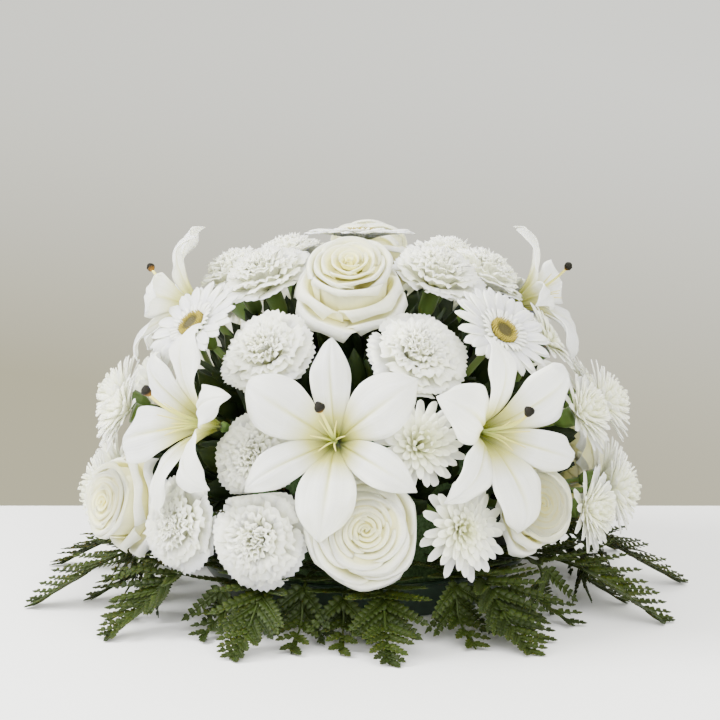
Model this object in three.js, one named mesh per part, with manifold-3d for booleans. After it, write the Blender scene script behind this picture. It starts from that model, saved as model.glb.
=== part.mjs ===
// A round funeral posy: white lilies, roses, gerberas, carnations and chrysanthemums on a
// dome of wet floral foam, in a shallow plastic tray with a collar of leatherleaf fern.
// Millimetres, +Z up. The origin is the middle of the tray's underside, and -Y is the front.
import * as THREE from "three";
import { mergeVertices } from "three/addons/utils/BufferGeometryUtils.js";
import Module from "manifold-3d";

const wasm = await Module();
wasm.setup();

// Driving dimensions
const DOME = { radius: 222, rise: 208, middle: 95 }; // where the faces of the blooms lie
const FOCUS = new THREE.Vector3(0, 0, 80); // the point that every stem aims at
const TRAY = { foot: 119, rim: 140, height: 35, wall: 2.2, lip: 5 };
const FOAM = { radius: 116, rise: 88, sides: 16, floor: 3.6 };
const STEM_DEPTH = 34; // how far a stem is pushed into the foam
const HOLE_GAP = 0.4; // clearance of a stem in its hole
const PRESS = { gap: 0.5, softness: 5 }; // how neighbouring petals give way to each other
const FERN = { thickness: 0.8, pairs: 7, pinna: 54, rib: 2.4, stalk: 1.8, lowest: 1.2 };

const materials = {
  petal: new THREE.MeshStandardMaterial({ color: 0xf4f5ee, roughness: 0.6 }),
  rose: new THREE.MeshStandardMaterial({ color: 0xf1f0dc, roughness: 0.55 }),
  pistil: new THREE.MeshStandardMaterial({ color: 0xc9c56a, roughness: 0.5 }),
  disc: new THREE.MeshStandardMaterial({ color: 0xb9b552, roughness: 0.8 }),
  fern: new THREE.MeshStandardMaterial({ color: 0x3f5a2c, roughness: 0.5 }),
  foam: new THREE.MeshStandardMaterial({ color: 0x2f4a2c, roughness: 0.95 }),
  tray: new THREE.MeshStandardMaterial({ color: 0x15231a, roughness: 0.4 }),
};

// One half of the dome, from the left edge round the front to the right edge. The other
// half repeats it turned by 180 degrees. Columns: kind, azimuth and elevation on the dome in
// degrees, size as a factor, lift off the dome in mm, spin in degrees, lean of the face to
// the right and upwards in degrees, and the spray that the head belongs to.
const HALF = [
  ["lily", -6, 19, 1.0, 26, 0, -2, -6],
  ["lily", 31, 18, 1.0, 26, 8, 9, -16],
  ["lily", -41, 20, 1.0, 26, -14, -16, -10],
  ["lily", -84, 46, 0.86, 24, 20, -14, -22],
  ["rose", -4, 60, 1.1, 12, 0, 0, -6],
  ["rose", 1, 1, 1.06, 12, 40, 0, 6],
  ["rose", 41, 3, 0.95, 4, 10, 4, 0],
  ["rose", -64, 0, 1.04, 6, 70, 0, 0],
  ["gerbera", -51, 42, 1.0, 16, 4, 0, 0],
  ["gerbera", 40, 41, 1.0, 16, 10, 0, 0],
  ["carnation", -41, -1, 1.02, 2, 0, 0, 0, "lower"],
  ["carnation", -21, -2, 1.04, 4, 20, 0, 0, "lower"],
  ["carnation", -24, 16, 0.92, -8, 10, 0, 0, "lower"],
  ["carnation", -26, 40, 1.0, 2, 5, 0, 0, "upper"],
  ["carnation", -52, 63, 1.02, 4, 30, 0, 0, "upper"],
  ["carnation", 16, 40, 1.04, 0, 0, 0, 0, "crown"],
  ["carnation", 42, 64, 1.02, 4, 15, 0, 0, "crown"],
  ["carnation", 88, 61, 0.98, 2, 40, 0, 0, "crown"],
  ["chrysanthemum", 21, 0, 1.04, 6, 0, 0, 0, "front"],
  ["chrysanthemum", 13, 19, 0.98, -4, 12, 0, 0, "front"],
  ["chrysanthemum", 60, -1, 0.96, 0, 8, 0, 0, "skirt"],
  ["chrysanthemum", 79, 0, 1.0, 4, 0, 0, 0, "skirt"],
  ["chrysanthemum", 98, -1, 1.0, 4, 15, 0, 0, "skirt"],
  ["chrysanthemum", 65, 21, 0.96, 0, 5, 0, 0, "side"],
  ["chrysanthemum", 84, 20, 1.0, 6, 0, 0, 0, "side"],
  ["chrysanthemum", 104, 20, 1.0, 2, 18, 0, 0, "side"],
  ["chrysanthemum", 70, 39, 1.0, 2, 10, 0, 0, "side"],
];
const TOP = ["gerbera", 180, 85, 1.06, 8, 0, 0, 0];
// Fronds: azimuth, reach of the tip from the middle, and height above its neighbours
const FRONDS = [
  [5, 270, 0], [30, 275, 4], [62, 290, 0], [92, 292, 4], [121, 290, 0], [150, 285, 4],
  [180, 280, 0], [-151, 285, 4], [-107, 295, 0], [-75, 295, 4], [-48, 280, 0], [-22, 272, 4],
];

const rad = THREE.MathUtils.degToRad;
const at = (radius, degrees, height) =>
  new THREE.Vector3(radius * Math.cos(rad(degrees)), radius * Math.sin(rad(degrees)), height);
const inPlan = (azimuth, radius, height) =>
  new THREE.Vector3(radius * Math.sin(rad(azimuth)), -radius * Math.cos(rad(azimuth)), height);
const ring = (sides, radius, height) =>
  Array.from({ length: sides }, (_, i) => at(radius, (360 / sides) * i, height));

const closed = (vertices, faces) =>
  new wasm.Manifold(
    new wasm.Mesh({
      numProp: 3,
      vertProperties: new Float32Array(vertices),
      triVerts: new Uint32Array(faces),
    }),
  );
const joined = (solids) => wasm.Manifold.union(solids);

// A three.js geometry as a solid
function solidOf(geometry) {
  const bare = geometry.index ? geometry.toNonIndexed() : geometry.clone();
  for (const name of ["normal", "uv"]) bare.deleteAttribute(name);
  const merged = mergeVertices(bare, 1e-3);
  return closed(merged.attributes.position.array, merged.index.array);
}

const turned = (points, sides) =>
  solidOf(
    new THREE.LatheGeometry(
      points.map(([radius, height]) => new THREE.Vector2(radius, height)),
      sides,
    ).rotateX(Math.PI / 2),
  );

// The angles of a ring of points, rising from its start
function anglesFrom(points, first, near) {
  const angles = [];
  for (let i = 0; i <= points.length; i++) {
    const { x, y } = points[(first + i) % points.length];
    let angle = Math.atan2(y, x);
    const least = i ? angles[i - 1] : near - Math.PI;
    while (angle < least) angle += 2 * Math.PI;
    angles.push(angle);
  }
  return angles;
}

// The triangles between two rings, the lower one first
function bridge(low, high, a, b, faces) {
  if (low.length === high.length) {
    low.forEach((_, i) => {
      const n = (i + 1) % low.length;
      faces.push(a + i, a + n, b + n, a + i, b + n, b + i);
    });
    return;
  }
  if (high.length === 1) {
    low.forEach((_, i) => faces.push(a + i, a + ((i + 1) % low.length), b));
    return;
  }
  const lowAngles = anglesFrom(low, 0, Math.atan2(low[0].y, low[0].x));
  const away = ({ x, y }) => {
    const turn = Math.abs(Math.atan2(y, x) - lowAngles[0]) % (2 * Math.PI);
    return Math.min(turn, 2 * Math.PI - turn);
  };
  const first = high.reduce((best, point, i) => (away(point) < away(high[best]) ? i : best), 0);
  const highAngles = anglesFrom(high, first, lowAngles[0]);
  let [i, j] = [0, 0];
  while (i < low.length || j < high.length) {
    const lowNext = i < low.length ? lowAngles[i] + lowAngles[i + 1] : Infinity;
    const highNext = j < high.length ? highAngles[j] + highAngles[j + 1] : Infinity;
    const [p, q] = [a + (i % low.length), b + ((first + j) % high.length)];
    if (lowNext <= highNext) faces.push(p, a + ((++i) % low.length), q);
    else faces.push(p, b + ((first + ++j) % high.length), q);
  }
}

// A solid from rings of points that follow its surface from the stem to the middle of the
// face. Each ring runs counterclockwise round +z.
function stacked(rings) {
  const points = rings.flat().map((point) => point.clone());
  const faces = [];
  for (let i = 1; i + 1 < rings[0].length; i++) faces.push(0, i + 1, i);
  let start = 0;
  for (let r = 0; r + 1 < rings.length; r++) {
    bridge(rings[r], rings[r + 1], start, start + rings[r].length, faces);
    start += rings[r].length;
  }
  const last = rings[rings.length - 1].length;
  for (let i = 1; i + 1 < last; i++) faces.push(start, start + i, start + i + 1);
  return { points, faces };
}

// The rim of a whorl of petals. A corner is [share of the petal's width, radius, height].
function rim(petals, corners, turn = 0, ruffle = 0) {
  const step = 360 / petals;
  return Array.from({ length: petals }, (_, k) =>
    corners.map(([share, radius, height]) =>
      at(radius, turn + (k + share) * step, height + (k % 2 ? ruffle : -ruffle)),
    ),
  ).flat();
}

// The heads are modelled with their face at z 0, looking along +z, and their stem below it.
// A head is a stack of rings, out to the rim of each layer of petals and back in.
const LAYERED = {
  rose: [
    ring(5, 9, -40),
    ring(5, 25, -26),
    rim(5, [[0.05, 35, -12], [0.5, 42, -5], [0.95, 38, -9]], 10),
    ring(5, 26, -14),
    rim(5, [[0.05, 28, 0], [0.5, 33, 4], [0.95, 31, 1]], 46),
    ring(5, 17, -9),
    rim(4, [[0.05, 16, 5], [0.5, 21, 8], [0.95, 20, 5]], 20),
    ring(4, 9, -5),
    rim(3, [[0.05, 8, 6], [0.5, 11, 9], [0.95, 10, 7]], 70),
    [at(0, 0, -2)],
  ],
  gerbera: [
    ring(5, 8, -22),
    ring(8, 11, -10),
    rim(16, [[0, 24, -3.5], [0.28, 45, 1.5], [0.72, 46, 2]], 0, 0.8),
    ring(8, 14, -5.5),
    rim(11, [[0, 15, 0], [0.5, 28, 5]], 9),
    ring(8, 9, -6),
    [at(0, 0, -6)],
  ],
  carnation: [
    ring(4, 6.5, -42),
    ring(4, 7.5, -17),
    rim(10, [[0, 33, -7], [0.5, 41, -4]], 0, 2.5),
    ring(4, 5, -10),
    rim(9, [[0, 25, 3], [0.5, 32, 6]], 11, 2.5),
    ring(4, 4, -4),
    rim(6, [[0, 13, 9], [0.5, 20, 14]], 5, 1.5),
    [at(0, 0, 2)],
  ],
  chrysanthemum: [
    ring(4, 8, -27),
    ring(4, 9, -15),
    rim(12, [[0, 27, -8], [0.5, 41, -4]], 0, 1.5),
    ring(4, 6, -9),
    rim(10, [[0, 20, 0], [0.5, 32, 6]], 14, 1.5),
    ring(4, 4, -4),
    rim(6, [[0, 10, 7], [0.5, 19, 14]], 3),
    [at(0, 0, 3)],
  ],
};
// A tepal's stations: radius, height, half width, and how far its edges hang below its middle
const WIDE = [[26, -14, 15, -1], [42, -3, 25, 2], [58, 2, 25, 6], [71, -2, 15, 6], [80, -11]];
const NARROW = [[25, -17, 10, -1], [41, -6, 16, 2], [57, -2, 17, 4], [69, -6, 11, 4], [78, -15]];
const THROAT = { radius: 12.5, height: -28, bottom: -46, neck: [5, -54] };
const HALF_TEPAL = 0.8; // half of a tepal's thickness along its middle

// For each kind: the radius and the height of the stem's upper end, and how far the petals
// reach. The petals of a lily and a gerbera lie over their neighbours, so they also have a
// throat and a slope that the neighbours stay outside of and below.
const KINDS = {
  lily: { stem: [4, -58], reach: 79, over: 2, throat: [14, -31], slope: 0.25 },
  gerbera: { stem: [3.2, -34], reach: 46, over: 1, throat: [14, -13], slope: 0.32 },
  rose: { stem: [3.6, -46], reach: 42, over: 0 },
  carnation: { stem: [3, -46], reach: 41, over: 0 },
  chrysanthemum: { stem: [3, -34], reach: 41, over: 0 },
};
const STEM_SIDES = 4;

// The six tepals of a lily, three of them wide and three narrow, round one throat. They are
// thick along the middle and thin at their edges, and share the points between them there.
function lilyShape(stemRings) {
  const points = stemRings.flat();
  const faces = [];
  const put = (point) => points.push(point) - 1;
  const { radius, height, bottom, neck } = THROAT;
  const gaps = ring(6, radius, height).map(put);
  const middles = (side) =>
    Array.from({ length: 6 }, (_, k) => put(at(radius, 60 * k - 30, height + side * HALF_TEPAL)));
  const [under, over] = [middles(-1), middles(1)];
  const collar = (middle) => gaps.flatMap((gap, k) => [middle[k], gap]);

  const foot = points.length;
  const bowl = stacked([...stemRings, ring(STEM_SIDES, ...neck), collar(under).map((i) => points[i])]);
  ring(STEM_SIDES, ...neck).forEach(put);
  const known = (i) => {
    if (i < 2 * STEM_SIDES) return i;
    if (i < 3 * STEM_SIDES) return foot + i - 2 * STEM_SIDES;
    return collar(under)[i - 3 * STEM_SIDES];
  };
  const lid = (12 - 2) * 3;
  faces.push(...bowl.faces.slice(0, bowl.faces.length - lid).map(known));
  const floor = put(at(0, 0, bottom));
  collar(over).forEach((a, i, all) => faces.push(a, all[(i + 1) % 12], floor));

  for (let k = 0; k < 6; k++) {
    const angle = 60 * k - 30;
    let [left, low, high, right] = [gaps[(k + 5) % 6], under[k], over[k], gaps[k]];
    for (const [r, z, half, hang] of k % 2 ? NARROW : WIDE) {
      if (half === undefined) {
        const tip = put(at(r, angle, z));
        faces.push(left, low, tip, low, right, tip, left, tip, high, high, tip, right);
        break;
      }
      const across = at(half, angle + 90, -hang);
      const farLeft = put(at(r, angle, z - 2 * hang).sub(across));
      const farRight = put(at(r, angle, z).add(across));
      const [farLow, farHigh] = [-HALF_TEPAL, HALF_TEPAL].map((side) => put(at(r, angle, z + side)));
      faces.push(left, low, farLow, left, farLow, farLeft, low, right, farRight, low, farRight, farLow);
      faces.push(left, farHigh, high, left, farLeft, farHigh, high, farRight, right, high, farHigh, farRight);
      [left, low, high, right] = [farLeft, farLow, farHigh, farRight];
    }
  }
  return { points, faces };
}

// A head in its own frame on a stem that ends at a given place in that frame
function headShape(kind, stemEnd) {
  const [radius, height] = KINDS[kind].stem;
  const top = ring(STEM_SIDES, radius, height);
  const stem = [top.map((point) => point.clone().add(stemEnd).setZ(point.z - height + stemEnd.z)), top];
  return kind === "lily" ? lilyShape(stem) : stacked([...stem, ...LAYERED[kind]]);
}

// Where a head sits: its face on the dome, looking away from the focus and then leaned
function placement([, azimuth, elevation, size, lift, spin, leanRight, leanUp]) {
  const face = inPlan(
    azimuth,
    DOME.radius * Math.cos(rad(elevation)),
    DOME.middle + DOME.rise * Math.sin(rad(elevation)),
  );
  const out = face.clone().sub(FOCUS).normalize();
  const up = out.z > 0.97 ? new THREE.Vector3(0, 1, 0) : new THREE.Vector3(0, 0, 1);
  const right = up.cross(out).normalize();
  const top = out.clone().cross(right);
  return new THREE.Matrix4()
    .makeBasis(right, top, out)
    .multiply(new THREE.Matrix4().makeRotationY(rad(leanRight)))
    .multiply(new THREE.Matrix4().makeRotationX(rad(-leanUp)))
    .multiply(new THREE.Matrix4().makeRotationZ(rad(spin)))
    .scale(new THREE.Vector3(size, size, size))
    .setPosition(face.addScaledVector(out, lift));
}

const towards = (point) => point.clone().sub(FOCUS).normalize();
const alongRay = (direction, distance) => FOCUS.clone().addScaledVector(direction, distance);

// The distance from the focus at which a ray leaves the foam's dome or its straight side
function foamReach(direction) {
  const flat = Math.hypot(direction.x, direction.y);
  if (direction.z < 0) return FOAM.radius / flat;
  return 1 / Math.hypot(flat / FOAM.radius, direction.z / FOAM.rise);
}

// A round bar along a path, with a radius for each point and flat ends
function bar(path, radii, sides, grow = 0) {
  const rings = path.map((point, i) => {
    const before = path[Math.max(i - 1, 0)];
    const after = path[Math.min(i + 1, path.length - 1)];
    const along = after.clone().sub(before).normalize();
    const reference = new THREE.Vector3(0, 0, 1);
    if (Math.abs(along.z) > 0.9) reference.set(1, 0, 0);
    const across = reference.cross(along).normalize();
    const frame = new THREE.Matrix4().makeBasis(across, along.clone().cross(across), along);
    const end = i === 0 ? -grow : i === path.length - 1 ? grow : 0;
    frame.setPosition(point.clone().addScaledVector(along, end));
    return ring(sides, radii[i] + grow, 0).map((corner) => corner.applyMatrix4(frame));
  });
  const { points, faces } = stacked(rings);
  return closed(points.flatMap((point) => point.toArray()), faces);
}

// A head on the dome, with its points in the posy's frame
function headOn(row, fork) {
  const kind = row[0];
  const place = placement(row);
  const home = place.clone().invert();
  const base = new THREE.Vector3(0, 0, KINDS[kind].stem[1]).applyMatrix4(place);
  const direction = towards(base);
  const end = fork || alongRay(direction, foamReach(direction) - STEM_DEPTH);
  const stemEnd = end.clone().applyMatrix4(home);
  const { points, faces } = headShape(kind, stemEnd);
  for (const point of points) point.applyMatrix4(place);
  const centre = new THREE.Vector3().setFromMatrixPosition(place);
  return { kind, size: row[3], place, home, centre, points, faces, base, end };
}

// How far a value may go as it nears a limit: freely at first, and then never quite there
function softened(value, limit) {
  const start = limit - PRESS.gap - PRESS.softness;
  if (value <= start) return value;
  return start + PRESS.softness * (1 - Math.exp((start - value) / PRESS.softness));
}

const petalsOf = (head) => head.points.slice(2 * STEM_SIDES);

// Two heads of one rank press on a plane between them, which passes through the focus
function pressApart(a, b) {
  const [toA, toB] = [towards(a.centre), towards(b.centre)];
  const [reachA, reachB] = [a, b].map((head) => KINDS[head.kind].reach * head.size);
  const middle = toA.clone().lerp(toB, reachA / (reachA + reachB)).normalize();
  const across = toB.clone().sub(toA);
  across.addScaledVector(middle, -across.dot(middle)).normalize();
  for (const [head, side] of [[a, 1], [b, -1]]) {
    for (const point of petalsOf(head)) {
      const reach = side * point.clone().sub(FOCUS).dot(across);
      point.addScaledVector(across, side * (softened(reach, 0) - reach));
    }
  }
}

// A head under the petals of a lily or a gerbera stays off its throat and below its petals
function pressUnder(upper, lower) {
  const { throat: [radius, height], slope } = KINDS[upper.kind];
  const middle = lower.centre.clone().applyMatrix4(upper.home).setZ(0).normalize();
  for (const point of petalsOf(lower)) {
    point.applyMatrix4(upper.home);
    const away = point.dot(middle);
    point.addScaledVector(middle, -softened(-away, -radius) - away);
    const ceiling = height + slope * (Math.max(away, radius) - radius);
    point.z = softened(point.z, ceiling);
    point.applyMatrix4(upper.place);
  }
}

function settle(heads) {
  heads.forEach((a, i) => {
    for (const b of heads.slice(i + 1)) {
      const reach = KINDS[a.kind].reach * a.size + KINDS[b.kind].reach * b.size;
      if (a.centre.distanceTo(b.centre) > reach) continue;
      const difference = KINDS[a.kind].over - KINDS[b.kind].over;
      if (difference > 0) pressUnder(a, b);
      else if (difference < 0) pressUnder(b, a);
      else pressApart(a, b);
    }
  });
}

// A style that bends up towards its dark stigma, and six filaments round it
function pistil() {
  const path = [[0, 0, -43], [0, 5, -10], [-3, 17, 18], [-4, 20, 21], [-4.6, 21.5, 24.5]];
  const style = bar(path.map((point) => new THREE.Vector3(...point)), [1.2, 1.6, 1.7, 4, 2.2], 4);
  const filaments = Array.from({ length: 6 }, (_, k) => {
    const spike = stacked([ring(3, 1.1, -40), [at(14, 60 * k, 2)]]);
    return closed(spike.points.flatMap((point) => point.toArray()), spike.faces);
  });
  return joined([style, ...filaments]);
}

// A low dome of florets with a raised ring round its eye
const florets = () =>
  turned([[0, -5.6], [6.5, -5.6], [11.5, -2.2], [12.5, 0.8], [9.5, 3.4], [5, 1.6], [0, 2.6]], 9);

// An open sheet as a closed solid. Its points are pushed to both sides along their normals.
function thicken({ points, triangles }, thickness) {
  const normals = points.map(() => new THREE.Vector3());
  const edges = new Map();
  for (const [a, b, c] of triangles) {
    const normal = points[b].clone().sub(points[a]).cross(points[c].clone().sub(points[a]));
    for (const i of [a, b, c]) normals[i].add(normal);
    for (const [i, j] of [[a, b], [b, c], [c, a]]) {
      if (!edges.delete(`${j},${i}`)) edges.set(`${i},${j}`, [i, j]);
    }
  }
  const count = points.length;
  const sides = [1, -1].flatMap((side) =>
    points.map((point, i) =>
      point.clone().addScaledVector(normals[i].clone().normalize(), (side * thickness) / 2),
    ),
  );
  const faces = triangles.flatMap(([a, b, c]) => [a, b, c, count + a, count + c, count + b]);
  for (const [i, j] of edges.values()) faces.push(j, i, count + i, j, count + i, count + j);
  return closed(sides.flatMap((point) => point.toArray()), faces);
}

// One fern frond: a stalk from the foam over the tray's rim, and a blade cut to the rib
// whose pinnae shorten towards a tip that lies just above the table
function frond(azimuth, reach, above) {
  const { pairs, pinna, rib, stalk, lowest, thickness } = FERN;
  const deep = inPlan(azimuth, FOAM.radius - STEM_DEPTH, 43);
  const rimTop = inPlan(azimuth, TRAY.rim - 8, 45 + above / 2);
  const spine = new THREE.CatmullRomCurve3([
    rimTop,
    inPlan(azimuth, 160, 46 + above),
    inPlan(azimuth, 195, 43 + above),
    inPlan(azimuth, reach - 38, 22),
    inPlan(azimuth, reach, lowest),
  ]);
  const side = inPlan(azimuth + 90, 1, 0);
  const station = (share) => spine.getPointAt(Math.min(share, 1));
  const points = [];
  const put = (point, across) => {
    const placed = point.clone().addScaledVector(side, across);
    placed.z = Math.max(placed.z - 0.22 * Math.abs(across), lowest);
    return points.push(placed) - 1;
  };
  const rails = [-1, 1].map((hand) =>
    Array.from({ length: pairs + 1 }, (_, k) =>
      put(station(k / pairs), hand * (k === pairs ? rib / 3 : rib)),
    ),
  );
  const triangles = [];
  for (let k = 0; k < pairs; k++) {
    const [left, right] = rails;
    triangles.push([left[k], right[k], right[k + 1]], [left[k], right[k + 1], left[k + 1]]);
    const share = k / pairs;
    const length = pinna * Math.min(0.45 + 1.1 * share, 1) * (1 - share) ** 0.6 + 3;
    rails.forEach((rail, i) => {
      const hand = i ? 1 : -1;
      const corner = (along, reached) => put(station((k + along) / pairs), hand * length * reached);
      const belly = corner(0.3, 0.42);
      const tip = corner(1.15 + 0.2 * (1 - share), 1);
      const notch = corner(0.98, 0.45);
      const fan = [[rail[k], belly, notch], [belly, tip, notch], [rail[k], notch, rail[k + 1]]];
      triangles.push(...fan.map(([a, b, c]) => (hand > 0 ? [a, b, c] : [a, c, b])));
    });
  }
  const path = [deep, rimTop, station(0.06)];
  const radii = [stalk, stalk, stalk];
  holes.push(bar([deep, rimTop], [stalk, stalk], STEM_SIDES, 1.5 * HOLE_GAP));
  return joined([thicken({ points, triangles }, thickness), bar(path, radii, STEM_SIDES)]);
}

// The tray: a flat foot, a flared wall and a rolled lip, in one closed profile
function tray() {
  const { foot, rim: edge, height, wall, lip } = TRAY;
  return turned(
    [
      [0, 0], [foot, 0], [edge - 1, height - 4], [edge + lip, height - 3], [edge + lip, height],
      [edge - wall, height], [foot - wall, wall + 1], [0, wall + 1],
    ],
    24,
  );
}

// The foam stands on the tray's floor and rises as a dome, with a plain hole for every stem
function foam() {
  const { radius, rise, sides, floor } = FOAM;
  const shoulder = (angle) =>
    [radius * Math.cos(rad(angle)), FOCUS.z + rise * Math.sin(rad(angle))];
  const block = turned(
    [[0, floor], [radius - 3, floor], [radius, FOCUS.z], shoulder(32), shoulder(62), shoulder(90)],
    sides,
  );
  return block.subtract(joined(holes));
}

// The pieces in the order of their files, each with the frame that it is placed by
const pieces = [];
const holes = [];
const counted = {};
const HOME = new THREE.Matrix4();

function add(name, material, solid, place = HOME) {
  counted[name] = (counted[name] || 0) + 1;
  const single = ["tray", "foam"].includes(name);
  pieces.push({ name: single ? name : `${name}_${counted[name]}`, material, solid, place });
}

const solidHead = ({ points, faces }) => closed(points.flatMap((point) => point.toArray()), faces);

// The heads of one node, the stem that they share if there are several, and their hole
function addBlooms({ rows, heads, trunk }) {
  const { kind, place, home, end } = heads[0];
  const [radius] = KINDS[kind].stem;
  if (trunk) {
    holes.push(bar(trunk, [radius, radius], STEM_SIDES, 1.5 * HOLE_GAP));
    const solids = [...heads.map(solidHead), bar(trunk, [radius, radius], STEM_SIDES)];
    add(`${kind}_spray`, "petal", joined(solids), place);
    return;
  }
  const past = end.clone().sub(heads[0].base).setLength(HOLE_GAP).add(end).applyMatrix4(home);
  const [, height] = KINDS[kind].stem;
  const top = ring(STEM_SIDES, radius + 1.5 * HOLE_GAP, height);
  const bottom = top.map((point) => point.clone().add(past).setZ(past.z));
  const hole = stacked([bottom, top]);
  for (const point of hole.points) point.applyMatrix4(place);
  holes.push(solidHead(hole));
  add(kind, kind === "rose" ? "rose" : "petal", solidHead(heads[0]), place);
  if (kind === "lily") add("lily_pistil", "pistil", pistil().transform(place.elements), place);
  if (kind === "gerbera") add("gerbera_disc", "disc", florets().transform(place.elements), place);
}

const turnedRound = (row) => row.map((value, column) => (column === 1 ? value + 180 : value));
const groups = [];
for (const half of [HALF, HALF.map(turnedRound)]) {
  for (const row of half) if (!row[8]) groups.push({ rows: [row] });
  for (const spray of new Set(half.map((row) => row[8]).filter(Boolean)))
    groups.push({ rows: half.filter((row) => row[8] === spray) });
}
groups.push({ rows: [TOP] });
for (const group of groups) {
  if (group.rows.length === 1) {
    group.heads = [headOn(group.rows[0])];
    continue;
  }
  // A spray's stems meet in a fork above the foam, along the mean direction of its heads
  const direction = group.rows
    .reduce((sum, row) => sum.add(towards(new THREE.Vector3().setFromMatrixPosition(placement(row)))),
      new THREE.Vector3())
    .normalize();
  const surface = foamReach(direction);
  const fork = alongRay(direction, surface + 14);
  group.heads = group.rows.map((row) => headOn(row, fork));
  group.trunk = [alongRay(direction, surface - STEM_DEPTH), alongRay(direction, surface + 17)];
}
settle(groups.flatMap((group) => group.heads));
groups.forEach(addBlooms);
for (const row of FRONDS) add("frond", "fern", frond(...row));
add("tray", "tray", tray());
add("foam", "foam", foam());

// Each piece becomes a mesh in its own frame: the shape as the head was modelled, and the
// place and turn that put it on the dome
const posy = new THREE.Group();
for (const { name, material, place, solid } of pieces) {
  const { vertProperties, triVerts, numProp } = solid.getMesh();
  const count = vertProperties.length / numProp;
  const corners = new Float32Array(count * 3);
  for (let i = 0; i < count; i++)
    corners.set(vertProperties.subarray(i * numProp, i * numProp + 3), i * 3);
  const mesh = new THREE.Mesh(new THREE.BufferGeometry(), materials[material]);
  place.decompose(mesh.position, mesh.quaternion, new THREE.Vector3());
  mesh.name = name;
  mesh.updateMatrix();
  mesh.geometry.setAttribute("position", new THREE.BufferAttribute(corners, 3));
  mesh.geometry.setIndex(new THREE.BufferAttribute(new Uint32Array(triVerts), 1));
  mesh.geometry.applyMatrix4(mesh.matrix.clone().invert());
  mesh.geometry.computeVertexNormals();
  posy.add(mesh);
}
export default posy;
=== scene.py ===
"""The funeral posy, dressed: every bloom with its full count of shaped petals, the fern
collar with its leaflets, foliage in the gaps, and the finishes of petal, leaf and plastic.
The measures are in millimetres until a piece is made, as in the solids."""

import math
import random

import bpy
import numpy as np
from mathutils import Matrix, Vector


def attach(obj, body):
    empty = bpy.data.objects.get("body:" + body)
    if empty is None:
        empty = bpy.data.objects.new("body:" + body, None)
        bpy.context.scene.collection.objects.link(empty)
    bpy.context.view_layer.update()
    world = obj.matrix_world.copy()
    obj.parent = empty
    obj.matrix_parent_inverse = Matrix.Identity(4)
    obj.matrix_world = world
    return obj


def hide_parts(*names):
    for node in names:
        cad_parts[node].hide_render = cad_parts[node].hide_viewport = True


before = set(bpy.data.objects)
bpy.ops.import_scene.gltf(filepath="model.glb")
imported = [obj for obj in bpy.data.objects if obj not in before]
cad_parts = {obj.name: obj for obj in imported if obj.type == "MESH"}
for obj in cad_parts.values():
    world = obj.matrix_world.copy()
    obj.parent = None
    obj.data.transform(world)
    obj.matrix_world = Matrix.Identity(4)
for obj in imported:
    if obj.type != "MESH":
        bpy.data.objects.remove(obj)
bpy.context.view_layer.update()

MM = 0.001

# The dome that the faces of the blooms lie on, and the foam that holds their stems
DOME_RADIUS, DOME_RISE, DOME_MIDDLE = 222, 208, 95
FOCUS = np.array([0, 0, 80.0])
TRAY_FOOT, TRAY_RIM, TRAY_HEIGHT, TRAY_WALL, TRAY_LIP = 119, 140, 35, 2.2, 5
FOAM_RADIUS, FOAM_RISE = 116, 88
# How deep a stem goes into the foam, and how far out of it the stem of a spray divides
STEM_DEPTH, TRUNK_RISE = 33, 14
PRESS_GAP, PRESS_SOFTNESS = 0.5, 5
PETAL_THICKNESS, THIN_PETAL, ROSE_THICKNESS, LEAF_THICKNESS = 0.5, 0.3, 0.7, 0.45
# The turn in degrees from one leaf or floret of a spiral to the next
SPIRAL_TURN = 137.5
MUM_PETALS, DISC_FLORETS, GAP_LEAVES, SHORT_FERNS = 78, 150, 500, 20
# Pairs of pinnae on a frond and the length of its longest one, for the collar and the short ferns
FROND_PINNAE, SHORT_PINNAE = (13, 59), (9, 52)

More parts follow.
